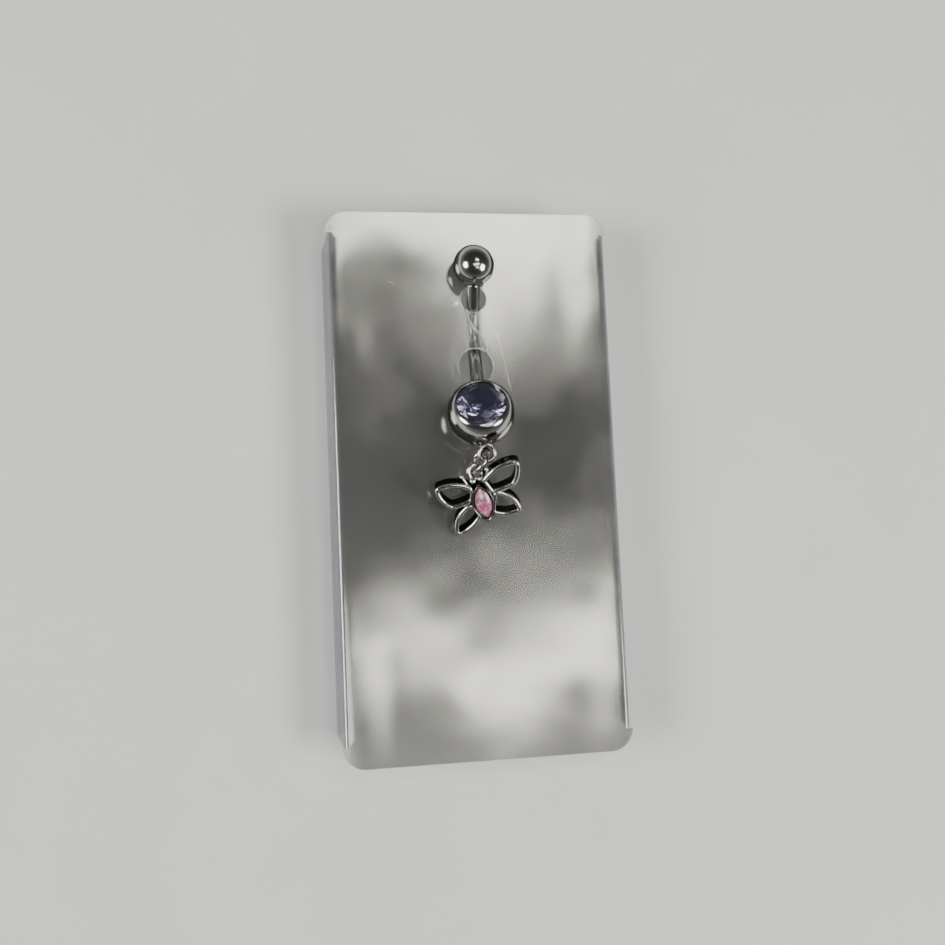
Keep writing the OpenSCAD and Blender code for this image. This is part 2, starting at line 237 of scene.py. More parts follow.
def around(count):
    """Unit directions round the z axis, anticlockwise."""
    angle = np.linspace(0, 2 * np.pi, count, endpoint=False)
    return np.stack([np.cos(angle), np.sin(angle)], -1)


def arc(centre, radius, start, end, count):
    """Points on a circle from start to end degrees."""
    angle = np.radians(np.linspace(start, end, count))
    return np.array(centre) + radius * np.stack([np.cos(angle), np.sin(angle)], -1)


def carry(profile, loop, normals):
    """Carries a profile (out, up) round a flat loop: loop point + out along its normal, and up along z."""
    flat = loop[None] + profile[:, :1, None] * normals[None]
    up = np.broadcast_to(profile[:, 1:, None], flat.shape[:2] + (1,))
    return np.concatenate([flat, up], -1)


def skin(rings, loop=False):
    """Quads between neighbouring rings and round each ring. Open ends are closed by a fan to their middle."""
    rows, cols = rings.shape[:2]
    row = np.arange(rows if loop else rows - 1)[:, None] * cols
    col = np.arange(cols)[None]
    after, beside = (row + cols) % (rows * cols), (col + 1) % cols
    quads = np.stack([row + col, row + beside, after + beside, after + col], -1).reshape(-1, 4)
    points = rings.reshape(-1, 3)
    if loop:
        return points, [quads]
    col = col[0]
    first, last = rows * cols, rows * cols + 1
    base = (rows - 1) * cols
    ends = np.array([rings[0].mean(0), rings[-1].mean(0)])
    fan = np.stack([np.full(cols, first), (col + 1) % cols, col], -1)
    top = np.stack([np.full(cols, last), base + col, base + (col + 1) % cols], -1)
    return np.vstack([points, ends]), [quads, fan, top]


def join(*shapes):
    """Several shapes as one, each with its faces counted on from the last."""
    starts = np.cumsum([0] + [len(points) for points, _ in shapes])
    faces = [block + start for (_, blocks), start in zip(shapes, starts) for block in blocks]
    return np.vstack([points for points, _ in shapes]), faces


def lathe(profile, sides=96):
    """A profile (radius, height) turned round the z axis, from its low end up the outside and back inside."""
    return skin(carry(profile, np.zeros((sides, 2)), around(sides)))


def ring(radius, wire, turns=72, sides=28):
    """A closed wire ring round the z axis: a circle carried round a circle."""
    out = around(turns)
    return skin(carry(wire / 2 * around(sides), radius * out, out), loop=True)


def tube(path, heading, radius, sides=32):
    """A tube on a path in the x-z plane: each ring is square to its heading, an angle from x towards z."""
    across = np.stack([sin(heading), 0 * heading, -cos(heading)], -1)
    side = around(sides)
    swing = side[None, :, :1] * across[:, None] + side[None, :, 1:] * np.array([0, 1, 0])
    reach = radius[..., None] if radius.ndim == 2 else radius[:, None, None]
    return skin(path[:, None] + reach * swing)


def show(name, data):
    """A new object in the scene."""
    made = bpy.data.objects.new(name, data)
    bpy.context.scene.collection.objects.link(made)
    return made


def put(name, shape, material, node, body=RING_BODY, crease=35):
    """Makes a piece, smooth up to a crease angle, hands it to its body and hides the solid that it stands for.
    """
    points, blocks = shape
    mesh = bpy.data.meshes.new(name)
    mesh.from_pydata((points * MM).tolist(), [], [face for block in blocks for face in block.tolist()])
    mesh.shade_smooth()
    mesh.set_sharp_from_angle(angle=np.radians(crease))
    mesh.materials.append(material)
    piece = show(name, mesh)
    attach(piece, body)
    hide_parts(node)
    return piece


def paint_block(piece, shape, block, material):
    """Gives one block of a shape's faces a second material."""
    counts = [len(faces) for faces in shape[1]]
    index = np.repeat(np.arange(len(counts)) == block, counts).astype(np.int32)
    piece.data.materials.append(material)
    piece.data.polygons.foreach_set("material_index", index)


def soften(piece, width, segments, angle):
    """Rounds a piece's edges that are sharper than an angle by a small width in millimetres."""
    bevel = piece.modifiers.new("softened edges", "BEVEL")
    bevel.width = width * MM
    bevel.segments = segments
    bevel.limit_method = "ANGLE"
    bevel.angle_limit = np.radians(angle)
    bevel.harden_normals = True


# Card


BEND_LINE = CARD_WIDTH / 2 - FOLD_RADIUS
BEND_TURN = 90 - FOLD_SPLAY
BEND_LENGTH = FOLD_RADIUS * np.radians(BEND_TURN)
FLANGE = (CARD_DEPTH - FOLD_RADIUS + (FOLD_RADIUS - SHEET) * cos(BEND_TURN)) / sin(BEND_TURN)
FLANGE_REACH = CARD_LENGTH / 2 - FOLD_END
SHEET_EDGE = BEND_LINE + BEND_LENGTH + FLANGE
EAR_EDGE = CARD_WIDTH / 2 + CORNER_TIP
NOTCH = 0.02
CHAMFER = 0.065
WAVE_DEPTH = 0.10


def holes():
    """Centre and radius of the upper and the lower hole, where the bar's legs cross the sheet."""
    tilt = cos(RING_ROLL) * cos(chord_tilt)
    top = (top_height + SHEET / 2) / (sin(leg_a) * tilt - cos(leg_a) * sin(chord_tilt))
    low = (low_height + SHEET / 2) / (sin(leg_b) * tilt + cos(leg_b) * sin(chord_tilt))
    upper = chord.at(top * cos(leg_a), 0, -top * sin(leg_a))[:2]
    lower = chord.at(BALL_SPAN - low * cos(leg_b), 0, -low * sin(leg_b))[:2] + [0, LOWER_HOLE_SHIFT]
    tan_top, tan_low = np.tan(np.radians([TOP_SLOPE, LOW_SLOPE]))
    upper_d = BAR_D / sin(TOP_SLOPE) + SHEET / tan_top + 2 * HOLE_CLEARANCE
    lower_d = BAR_D / sin(LOW_SLOPE) + SHEET / tan_low + LOWER_HOLE_EXTRA
    return (upper, upper_d / 2), (lower, lower_d / 2)


def slit_line(count=121):
    """Middle of the slit, a gentle S from the upper hole's lower left to the lower hole's upper right."""
    (upper, upper_r), (lower, lower_r) = holes()
    leaving, arriving = 213, 42
    a = upper + (upper_r - SLIT_LAP) * np.array([cos(leaving), sin(leaving)])
    b = lower + (lower_r - SLIT_LAP) * np.array([cos(arriving), sin(arriving)])
    along = (b - a) / np.linalg.norm(b - a)
    out = np.array([along[1], -along[0]])
    share = np.linspace(0, 1, count)[:, None]
    return a + (b - a) * share + out * SLIT_BOW * np.sin(2 * np.pi * share), out


def hole_loop():
    """One loop round both holes and the slit: round one hole, down the slit, round the other and back."""
    (upper, upper_r), (lower, lower_r) = holes()
    middle, out = slit_line()

    def side(way):
        """One side of the slit, from hole to hole."""
        line = middle + way * out * SLIT_WIDTH / 2
        clear = np.linalg.norm(line - upper, axis=1) > upper_r
        clear &= np.linalg.norm(line - lower, axis=1) > lower_r
        kept = line[clear]
        return kept[np.linspace(0, len(kept) - 1, 24).astype(int)]

    def rim(centre, radius, start, end, count):
        """The hole's edge, anticlockwise between two points on it, without them."""
        begin, finish = (np.degrees(np.arctan2(*(point - centre)[::-1])) for point in (start, end))
        return arc(centre, radius, begin, begin + (finish - begin) % 360, count)[1:-1]

    back, forth = side(-1), side(1)
    top = rim(upper, upper_r, back[0], forth[0], 65)
    low = rim(lower, lower_r, forth[-1], back[-1], 81)
    return np.vstack([back[::-1], top, forth, low])


def stretch(a, b, count):
    """Evenly spaced points from a up to, and without, b."""
    share = np.linspace(0, 1, count, endpoint=False)[:, None]
    return np.array(a) + (np.array(b) - np.array(a)) * share


def sheet_outline():
    """Edge of the flat sheet: flanges at the sides, notched where they end, and rounded corners."""
    end = FLANGE_REACH - NOTCH
    corner = np.array([EAR_EDGE, CARD_LENGTH / 2]) - CORNER_RADIUS
    ear_start = np.degrees(np.arcsin((FLANGE_REACH + NOTCH - corner[1]) / CORNER_RADIUS))
    ear = arc(corner, CORNER_RADIUS, ear_start, 90, 16)
    quarter = np.vstack([
        stretch((SHEET_EDGE, 0), (SHEET_EDGE, end - FOLD_END_SLANT), 38),
        stretch((SHEET_EDGE, end - FOLD_END_SLANT), (BEND_LINE + BEND_LENGTH, end), 8),
        stretch((BEND_LINE + BEND_LENGTH, end), (BEND_LINE, end), 8),
        [[BEND_LINE, end], [BEND_LINE - 2 * NOTCH, FLANGE_REACH]],
        stretch((BEND_LINE, FLANGE_REACH + NOTCH), ear[0], 4),
        ear[:-1],
        stretch(ear[-1], (0, CARD_LENGTH / 2), 18),
        [[0, CARD_LENGTH / 2]],
    ])
    flip, turn_over = quarter * [-1, 1], quarter * [1, -1]
    return np.vstack([quarter, flip[::-1][1:], -quarter[1:], turn_over[::-1][1:-1]])


def inside(points, loop):
    """True where a point is inside a closed loop: its ray to the right crosses it an odd number of times."""
    x, y = points[:, :1], points[:, 1:]
    a, b = loop[None], np.roll(loop, -1, axis=0)[None]
    crossing = (a[..., 1] > y) != (b[..., 1] > y)
    rise = np.where(b[..., 1] == a[..., 1], 1, b[..., 1] - a[..., 1])
    return (crossing & (x < a[..., 0] + (y - a[..., 1]) * (b[..., 0] - a[..., 0]) / rise)).sum(1) % 2 == 1


def grid_points(outline, loop):
    """Regular points inside the sheet, closer together at the bends, and none too near an edge."""
    end_room, edge_room = 0.4, 0.26
    flat = np.linspace(-BEND_LINE, BEND_LINE, 47)
    bend = BEND_LINE + BEND_LENGTH * np.linspace(0.125, 1, 8)
    side = BEND_LINE + BEND_LENGTH + FLANGE * np.linspace(0.14, 0.86, 6)
    u = np.concatenate([-side[::-1], -bend[::-1], flat, bend, side])
    v = np.linspace(-1, 1, 87) * (CARD_LENGTH / 2 - end_room)
    points = np.stack(np.meshgrid(u, v), -1).reshape(-1, 2)
    points = points[inside(points, outline) & ~inside(points, loop)]
    border = np.vstack([outline, loop])
    near = np.array([np.linalg.norm(border - p, axis=1).min() for p in points])
    return points[near > edge_room]


def ripple(u, v):
    """Slight waves of the thin sheet (mm): long sine waves that leave the ring's seats level."""
    seat_y, seat_width, seat_length, margin = 13, 6, 15, 6
    wave = 0.5 * np.sin(0.21 * u + 0.9) * np.sin(0.13 * v - 0.4) + 0.3 * np.sin(0.11 * u - 0.19 * v + 2.1)
    seat = 1 - np.exp(-((u / seat_width) ** 2 + ((v - seat_y) / seat_length) ** 2) ** 2)
    edge = np.clip((BEND_LINE - np.abs(u)) / margin, 0, 1)
    return -WAVE_DEPTH * (1 - wave) * seat * edge**2 * (3 - 2 * edge)


def fold(u, v, depth):
    """Folds the flat sheet: past the bend line a point goes round an arc and then straight down, leaning out
    by the splay. Beyond the ends of the flanges it stays flat. Depth is below the sheet's outer face."""
    past = np.abs(u) - BEND_LINE
    bent = (past > 0) & (np.abs(v) < FLANGE_REACH)
    angle = np.clip(past / FOLD_RADIUS, 0, np.radians(BEND_TURN))
    straight = np.maximum(past - BEND_LENGTH, 0)
    reach = FOLD_RADIUS - depth
    x = np.where(bent, BEND_LINE + reach * np.sin(angle) + straight * np.cos(angle), np.abs(u))
    z = np.where(bent, reach * np.cos(angle) - straight * np.sin(angle) - FOLD_RADIUS, -depth + ripple(u, v))
    return np.stack([np.sign(u) * x, v, CARD_DEPTH + z], -1)


# The block of the sheet's faces that is its cut edges
CUT_EDGES = 2


def card_shape():
    """The sheet: triangles between its outline and the holes' loop, folded once for each face, and joined by
    a chamfer and a wall along every open edge. Its last block, the chamfers and walls, is the cut edges."""
    outline, loop = sheet_outline(), hole_loop()
    points = np.vstack([outline, loop, grid_points(outline, loop)])

    def closed(start, count):
        """Edges that join count points, from start on, into a closed line."""
        k = np.arange(count)
        return np.stack([start + k, start + (k + 1) % count], -1).tolist()

    edges = closed(0, len(outline)) + closed(len(outline), len(loop))
    flat, _, triangles, *_ = delaunay_2d_cdt([Vector(p) for p in points], edges, [], 0, 1e-6)
    flat, triangles = np.array(flat), np.array(triangles)
    middle = flat[triangles].mean(1)
    triangles = triangles[inside(middle, outline) & ~inside(middle, loop)]
    count = len(flat)
    directed = np.concatenate([triangles[:, [0, 1]], triangles[:, [1, 2]], triangles[:, [2, 0]]])
    code, back = directed[:, 0] * count + directed[:, 1], directed[:, 1] * count + directed[:, 0]
    a, b = directed[~np.isin(code, back)].T
    step = flat[b] - flat[a]
    inward = np.zeros_like(flat)
    left = np.stack([-step[:, 1], step[:, 0]], -1) / np.linalg.norm(step, axis=1)[:, None]
    np.add.at(inward, a, left)
    np.add.at(inward, b, left)
    border = np.unique(a)
    inward[border] /= np.linalg.norm(inward[border], axis=1)[:, None]
    notch = np.hypot(np.abs(flat[:, 0]) - BEND_LINE, np.abs(flat[:, 1]) - FLANGE_REACH)
    drawn_in = flat + inward * (CHAMFER * np.clip(notch - 0.3, 0, 1))[:, None]
    points = np.vstack([fold(*drawn_in.T, 0.0), fold(*flat.T, SHEET), fold(*flat[border].T, CHAMFER)])
    rim_a, rim_b = (2 * count + np.searchsorted(border, end) for end in (a, b))
    chamfer = np.stack([b, a, rim_a, rim_b], -1)
    wall = np.stack([rim_b, rim_a, a + count, b + count], -1)
    return points, [triangles, triangles[:, ::-1] + count, np.vstack([chamfer, wall])]


# Ring


def bar_shape():
    """The bar: a threaded end with helical ridges, a shoulder, a straight leg, a bend and the lower leg."""
    foot = stub_end + SEAT_GAP
    thread = np.linspace(foot - THREAD_LENGTH, foot, 96)
    # The shoulder's rounding: steps along the bar, and how far in each is
    shoulder_steps, shoulder_in = np.array([[0.005, 0.02, 0.06, 0.12], [0.12, 0.07, 0.025, 0.005]])
    upper = np.linspace(foot + 0.3, apex_a - tangent, 6)
    along = np.concatenate([thread, foot + shoulder_steps, upper])
    bend = np.linspace(-leg_a, leg_b, 50)[1:-1]
    lower = np.linspace(apex_b - tangent, LOW_LEG_START, 6)
    lift = BEND_RADIUS / cos((leg_a + leg_b) / 2)
    lean = (leg_a - leg_b) / 2
    centre = np.array([apex_a * cos(leg_a) + lift * sin(lean), -apex_a * sin(leg_a) + lift * cos(lean)])
    flat = np.vstack([
        along[:, None] * [cos(leg_a), -sin(leg_a)],
        centre + BEND_RADIUS * np.stack([sin(bend), -cos(bend)], -1),
        [BALL_SPAN, 0] + lower[:, None] * [-cos(leg_b), -sin(leg_b)],
    ])
    path = np.stack([flat[:, 0], np.zeros(len(flat)), flat[:, 1]], -1)
    heading = np.concatenate([np.full(len(along), -leg_a), bend, np.full(len(lower), leg_b)])
    sides = 40
    radius = np.full((len(path), sides), BAR_D / 2)
    phase = thread[:, None] / THREAD_PITCH - np.arange(sides)[None] / sides
    ridge = 1 - np.abs(2 * (phase % 1) - 1)
    taper = np.clip((thread - thread[0]) / 0.25, 0, 1)[:, None]
    radius[: len(thread)] = (THREAD_D / 2 - THREAD_RIDGE + THREAD_RIDGE * ridge) * (0.75 + 0.25 * taper)
    radius[len(thread) : len(thread) + len(shoulder_in)] = BAR_D / 2 - shoulder_in[:, None]
    return tube(path, heading, radius, sides)


def small_ball_shape():
    """A polished ball with a shallow seat and a bore for the thread, turned round the bar's axis."""
    r, seat, bore = SMALL_BALL_D / 2, BAR_D / 2 + SEAT_GAP, THREAD_D / 2 + THREAD_GAP
    rim = np.degrees(np.arccos((seat + 0.05) / r))
    top, bottom, chamfer = r * sin(rim), stub_end - THREAD_LENGTH, 0.06
    return lathe(np.vstack([
        arc((0, 0), r, -89.5, rim, 60),
        [[seat + 0.02, top - 0.01], [seat, top - 0.03], [seat, stub_end]],
        [[bore + chamfer, stub_end], [bore, stub_end - chamfer], [bore, bottom - 0.1]],
        [[0.02, bottom - 0.2]],
    ]))


def cup_shape():
    """The large ball, cut off at a broad rounded lip that folds in over the stone, and hollow to seat it."""
    r, stone_r = LARGE_BALL_D / 2, ROUND_D / 2 + SEAT_GAP
    lip_depth, lip_bulge, lip_lap, lip_round = 0.5, 0.36, 0.11, 0.09
    cut = np.degrees(np.arcsin((RIM_HEIGHT - lip_depth) / r))
    outside = arc((0, 0), r, -89.5, cut, 64)
    shoulder = outside[-1]
    lip = np.array([stone_r + 0.02, RIM_HEIGHT])
    share = np.linspace(0, 1, 15)[1:, None]
    corner = shoulder + lip_bulge * np.array([-sin(cut), cos(cut)])
    rounded = (1 - share) ** 2 * shoulder + 2 * share * (1 - share) * corner + share**2 * lip
    inner = stone_r - lip_lap
    return lathe(np.vstack([
        outside,
        rounded,
        arc((inner + lip_round, RIM_HEIGHT - lip_round), lip_round, 80, 180, 7),
        [[stone_r, GIRDLE_TOP + 0.1], [stone_r, GIRDLE_TOP - GIRDLE - SEAT_GAP]],
        [[0.03, GIRDLE_TOP - GIRDLE - PAVILION - 0.1]],
    ]), 128)


def blob(centre, sizes, axes):
    """A drop of solder or a bead: a ball squeezed to three half-sizes along its own axes."""
    points, faces = lathe(arc((0, 0), 1, -89, 89, 24), 40)
    return Place(centre, axes)((points * sizes, faces))


def eyelet_solder():
    """Solder between the eyelet and the ball, wide along the eyelet's wire and thin away from the ball."""
    half_width, half_thickness, half_height, sink = 0.8, 0.17, 0.3, 0.04
    way = eyelet_at - large_ball_at
    way /= np.linalg.norm(way)
    up = eyelet_place.axes[:, 2]
    along = np.cross(way, up)
    along /= np.linalg.norm(along)
    axes = np.stack([along, way, np.cross(along, way)], -1)
    centre = large_ball_at + way * (LARGE_BALL_D / 2 - sink)
    return blob(centre, [half_width, half_thickness, half_height], axes)


def bar_collar():
    """A small fillet of solder where the bar's lower leg enters the large ball."""
    start, end = LARGE_BALL_D / 2 - 0.22, LARGE_BALL_D / 2 + 0.25
    share = np.linspace(0, 1, 12)
    radius = BAR_D / 2 + 0.02 + 0.24 * (1 - share) ** 2
    height = start + (end - start) * share
    profile = np.vstack([[0.02, start - 0.1], np.stack([radius, height], -1), [0.02, end + 0.02]])
    return low_leg(lathe(profile, 48))


def jump_ring_shape():
    """A wire ring with a fine cut: the two square ends almost touch."""
    angle = np.linspace(JUMP_CUT / 2, 360 - JUMP_CUT / 2, 97)
    angle = np.concatenate([[angle[0]] * 2, angle, [angle[-1]] * 2])
    path = JUMP_RADIUS * np.stack([cos(angle), 0 * angle, sin(angle)], -1)
    radius = np.full(len(angle), JUMP_WIRE / 2)
    radius[[0, -1]] -= 0.06
    radius[[1, -2]] -= 0.02
    return tube(path, angle + 90, radius, 28)


# Stones


def brilliant_shape():
    """Round brilliant by eighths: a table, star, kite and half facets, a girdle and a pointed pavilion."""
    r = ROUND_D / 2
    table_r, star_r, low_r = 0.575 * r, 0.8 * r, 0.3 * r
    half = cos(22.5)
    star_z = GIRDLE_TOP + CROWN * (r - star_r * half) / (r - table_r)
    low_z = GIRDLE_TOP - GIRDLE - PAVILION * (r - low_r * half) / r

    def level(radius, z, count, start):
        """Corners at one radius and height, evenly spaced from a starting angle."""
        angle = start + 360 / count * np.arange(count)
        return np.stack([radius * cos(angle), radius * sin(angle), np.full(count, z)], -1)

    points = np.vstack([
        level(table_r, GIRDLE_TOP + CROWN, 8, 0),
        level(star_r, star_z, 8, 22.5),
        level(r, GIRDLE_TOP, 16, 0),
        level(r, GIRDLE_TOP - GIRDLE, 16, 0),
        level(low_r, low_z, 8, 22.5),
        [[0, 0, GIRDLE_TOP - GIRDLE - PAVILION]],
    ])
    i, k = np.arange(8), np.arange(16)
    following, before, rim = (i + 1) % 8, (i + 7) % 8, (k + 1) % 16
    point = np.full(8, len(points) - 1)
    triangles = [
        (i, 8 + i, following),
        (8 + i, 16 + 2 * i, 17 + 2 * i),
        (8 + i, 17 + 2 * i, 16 + (2 * i + 2) % 16),
        (48 + i, 33 + 2 * i, 32 + 2 * i),
        (48 + i, 32 + (2 * i + 2) % 16, 33 + 2 * i),
    ]
    kites = [(i, 8 + before, 16 + 2 * i, 8 + i), (point, 48 + i, 32 + 2 * i, 48 + before)]
    band = [(16 + k, 32 + k, 32 + rim, 16 + rim)]
    blocks = [np.stack(block, -1) for block in triangles + kites + band]
    return points, [i[None]] + blocks


def vesica(length, width, count=24):
    """Upright marquise outline and its normals: two arcs that meet in points, where the normal swings."""
    r = ((width / 2) ** 2 + (length / 2) ** 2) / width
    top = np.degrees(np.arcsin(length / 2 / r))
    side = np.linspace(-top, top, count)
    tip = np.linspace(top, 180 - top, 9)[1:-1]
    right = arc((width / 2 - r, 0), r, -top, top, count)
    left = arc((r - width / 2, 0), r, 180 - top, 180 + top, count)
    upper, lower = np.tile([0, length / 2], (len(tip), 1)), np.tile([0, -length / 2], (len(tip), 1))
    bearing = np.concatenate([side, tip, side + 180, tip + 180])
    return np.vstack([right, upper, left, lower]), np.stack([cos(bearing), sin(bearing)], -1)


def marquise_shape():
    """A domed stone: the outline drawn in towards its middle while the surface rises along a parabola."""
    loop = vesica(MARQUISE_LENGTH, MARQUISE_WIDTH)[0]
    foot = SEAT_GAP - SEAT_DEPTH
    over_dome = np.linspace(0.985, 0.01, 22)
    share = np.concatenate([[0.02, 0.9, 0.97, 0.99, 0.995], over_dome])
    dome = DOME_RISE * (1 - over_dome**2.4)
    height = np.concatenate([[foot, foot, foot + 0.06, foot + 0.2, -0.03], dome])
    flat = share[:, None, None] * loop[None]
    up = np.broadcast_to(height[:, None, None], flat.shape[:2] + (1,))
    return skin(np.concatenate([flat, up], -1))


# Butterfly


def cell_loop(corners, inset):
    """A wing cell's outline drawn in by inset, with its outward normals. Edges bow out as parabolas, and at
    each corner the normal swings from one edge to the next."""
    corners = np.array(corners)
    loop, bearings = [], []
    share = np.linspace(0, 1, 15)
    for a, b in zip(corners, np.roll(corners, -1, axis=0)):
        step = b[:2] - a[:2]
        out = np.array([step[1], -step[0]]) / np.linalg.norm(step)
        bow = 4 * a[2] * share * (1 - share)
        way = step + out * (4 * a[2] * (1 - 2 * share))[:, None]
        loop.append(a[:2] + share[:, None] * step + out * bow[:, None])
        bearings.append(np.degrees(np.arctan2(-way[:, 0], way[:, 1])))
    points, angles = [], []
    for edge, bearing, next_bearing in zip(loop, bearings, bearings[1:] + bearings[:1]):
        swing = (next_bearing[0] - bearing[-1] + 180) % 360 - 180
        trim = inset * np.tan(np.radians(max(swing, 1) / 2))
        normal = np.stack([cos(bearing), sin(bearing)], -1)
        inner = edge - inset * normal
        length = np.linalg.norm(edge[-1] - edge[0])
        keep = (share > trim / length) & (share < 1 - trim / length)
        points.append(inner[keep])
        angles.append(bearing[keep])
        half = np.radians(swing / 2)
        middle = bearing[-1] + swing / 2
        corner = edge[-1] - inset / np.cos(half) * np.array([cos(middle), sin(middle)])
        steps = max(3, int(swing // 12) + 2)
        points.append(np.tile(corner, (steps, 1)))
        angles.append(bearing[-1] + swing * np.linspace(0, 1, steps))
    bearing = np.concatenate(angles)
    return np.vstack(points), np.stack([cos(bearing), sin(bearing)], -1)


def rounded_wall(near, far, low, high, top_r, low_r):
    """Section of a wall from near to far and low to high, with rounded edges, anticlockwise."""
    return np.vstack([
        arc((near + low_r, low + low_r), low_r, 180, 270, 5),
        arc((far - low_r, low + low_r), low_r, 270, 360, 5),
        arc((far - top_r, high - top_r), top_r, 0, 90, 8),
        arc((near + top_r, high - top_r), top_r, 90, 180, 8),
    ])


def wing_shape(corners):
    """A pierced wing: a rounded wall carried round its cell."""
    loop, normals = cell_loop(corners, CELL_INSET)
    section = rounded_wall(CELL_INSET, CELL_INSET + WING_WALL, -WING_DEPTH, 0, WING_EDGE, 0.08)
    return skin(carry(section, loop, normals), loop=True)


def setting_shape():
    """The marquise setting: a closed foot, a rounded outer wall, a rim, and a bevel down to the seat."""
    loop, normals = vesica(MARQUISE_LENGTH, MARQUISE_WIDTH)
    foot_r, rim_r, middle = 0.08, 0.1, -0.3
    section = np.vstack([
        [[middle, -WING_DEPTH]],
        arc((BEZEL_WALL - foot_r, -WING_DEPTH + foot_r), foot_r, 270, 360, 5),
        arc((BEZEL_WALL - rim_r, BEZEL_RISE - rim_r), rim_r, 0, 110, 9),
        [[SEAT_GAP + 0.01, 0.06], [SEAT_GAP, 0.02], [SEAT_GAP, -SEAT_DEPTH], [middle, -SEAT_DEPTH]],
    ])
    return skin(carry(section, loop, normals))


def feeler_shape(x0, y0, deep0, x1, y1, deep1):
    """A feeler: a straight wire that tapers a little and ends in a small ball."""
    a, b = np.array([x0, y0, -deep0]), np.array([x1, y1, -deep1])
    length = np.linalg.norm(b - a)
    along = (b - a) / length
    ball = 0.65 * FEELER_D
    share = np.linspace(0, 1, 10)
    over_ball = np.linspace(-40, 88, 12)
    reach = np.concatenate([share * (length - ball * 0.8), length + ball * sin(over_ball)])
    radius = np.concatenate([FEELER_D / 2 * (1.05 - 0.15 * share), ball * cos(over_ball)])
    path = np.stack([reach, 0 * reach, 0 * reach], -1)
    side = np.cross(np.array([0, 0, 1.0]), along)
    side /= np.linalg.norm(side)
    axes = np.stack([along, side, np.cross(along, side)], -1)
    return Place(a, axes)(tube(path, np.zeros(len(path)), radius, 24))


def head_shape():
    """The head: two beads and two feelers."""
    bead_side, bead_y, bead_z = 0.565 * BEAD_D, 2.68, -1.0
    sizes = np.full(3, BEAD_D / 2)
    beads = [blob([way * bead_side, bead_y, bead_z], sizes, np.eye(3)) for way in (-1, 1)]
    return join(*beads, *[feeler_shape(*feeler) for feeler in FEELERS])


# Materials


def add(beside, kind, inputs=(), out=0, **settings):
    """Adds a node beside another one or its socket, sets it and its inputs, and gives back an output."""
    made = beside.id_data.nodes.new(kind)
    for key, value in settings.items():
        setattr(made, key, value)
    for key, value in dict(inputs).items():
        set_input(made, key, value)
    return made.outputs[out]


def set_input(node, key, value):
    """Links an output to a node's input, or sets the input to a plain value."""
    if isinstance(value, bpy.types.NodeSocket):
        node.id_data.links.new(value, node.inputs[key])
    else:
        node.inputs[key].default_value = value


def maths(operation, a, b=0.0, clamp=False):
    """The named operation on an output and on another output or a number."""
    return add(a, "ShaderNodeMath", {0: a, 1: b}, operation=operation, use_clamp=clamp)


def times(a, b):
    """Product of an output and a value."""
    return maths("MULTIPLY", a, b)


def plus(a, b):
    """Sum of an output and a value."""
    return maths("ADD", a, b)


def minus(a, b):
    """An output less a value."""
    return maths("SUBTRACT", a, b)


def vector_maths(operation, a, b=(0, 0, 0), out="Value"):
    """The named operation on one or two vectors, as a number or, if out says so, as a vector."""
    return add(a, "ShaderNodeVectorMath", {0: a, 1: b}, out=out, operation=operation)


def noise(where, scale, detail=3.0):
    """Smooth noise from 0 to 1, with its scale per metre."""
    return add(
        where, "ShaderNodeTexNoise",
        {"Vector": where, "Scale": scale, "Detail": detail, "Roughness": 0.55}, out="Fac",
    )


def spread(value, low, high, to_low=0.0, to_high=1.0):
    """Maps low..high onto to_low..to_high, smoothly and without overshoot."""
    return add(
        value, "ShaderNodeMapRange",
        {"Value": value, "From Min": low, "From Max": high, "To Min": to_low, "To Max": to_high},
        interpolation_type="SMOOTHSTEP",
    )


def mix(share, a, b):
    """Colour a, with b over it by share."""
    return add(share, "ShaderNodeMix", {0: share, 6: a, 7: b}, out=2, data_type="RGBA")


def bump(height, depth):
    """Normals of a surface whose height from 0 to 1 is as deep as depth, in millimetres."""
    return add(height, "ShaderNodeBump", {"Height": height, "Distance": depth * MM, "Strength": 1.0})


def feed(shader, **values):
    """Links or sets a shader's inputs, which are named with underscores for spaces."""
    for key, value in values.items():
        set_input(shader, key.replace("_", " "), value)


def new_material(name, **plain):
    """A material and its one Principled shader, with plain values."""
    material = bpy.data.materials.new(name)
    material.use_nodes = True
    shader = material.node_tree.nodes["Principled BSDF"]
    feed(shader, **plain)
    return material, shader


def objects_place(shader):
    """The point's own place on its object, in metres."""
    return add(shader, "ShaderNodeTexCoord", out="Object")


def height_over(where, place):
    """Height of a point over a place's own x-y plane, in metres."""
    off = vector_maths("SUBTRACT", where, tuple(place.origin * MM), out="Vector")
    return vector_maths("DOT_PRODUCT", off, tuple(place.axes[:, 2]))


def handled_polish():
    """Group: polished metal that has been handled. Faint smudges and hairlines as roughness and height."""
    tree = bpy.data.node_groups.new("handled polish", "ShaderNodeTree")
    for name, side, kind in (
        ("Place", "INPUT", "Vector"), ("Shine", "INPUT", "Float"), ("Marks", "INPUT", "Float"),
        ("Roughness", "OUTPUT", "Float"), ("Height", "OUTPUT", "Float"),
    ):
        tree.interface.new_socket(name, in_out=side, socket_type="NodeSocket" + kind)
    given, ending = tree.nodes.new("NodeGroupInput").outputs, tree.nodes.new("NodeGroupOutput")
    where = given["Place"]
    smudge = spread(noise(where, 420.0, 4.0), 0.45, 0.75)
    stretched = add(where, "ShaderNodeMapping", {
        "Vector": where, "Rotation": (0.3, 0.5, 0.9), "Scale": (1, 14, 1),
    })
    hairline = spread(noise(stretched, 1500.0, 2.0), 0.6, 0.74)
    wear_and_painted_glint = times(plus(smudge, times(hairline, 0.8)), given["Marks"])
    dents = noise(where, 260.0, 2.0)
    feed(ending, Roughness=plus(wear_and_painted_glint, given["Shine"]), Height=plus(times(hairline, 0.08), dents))
    return tree


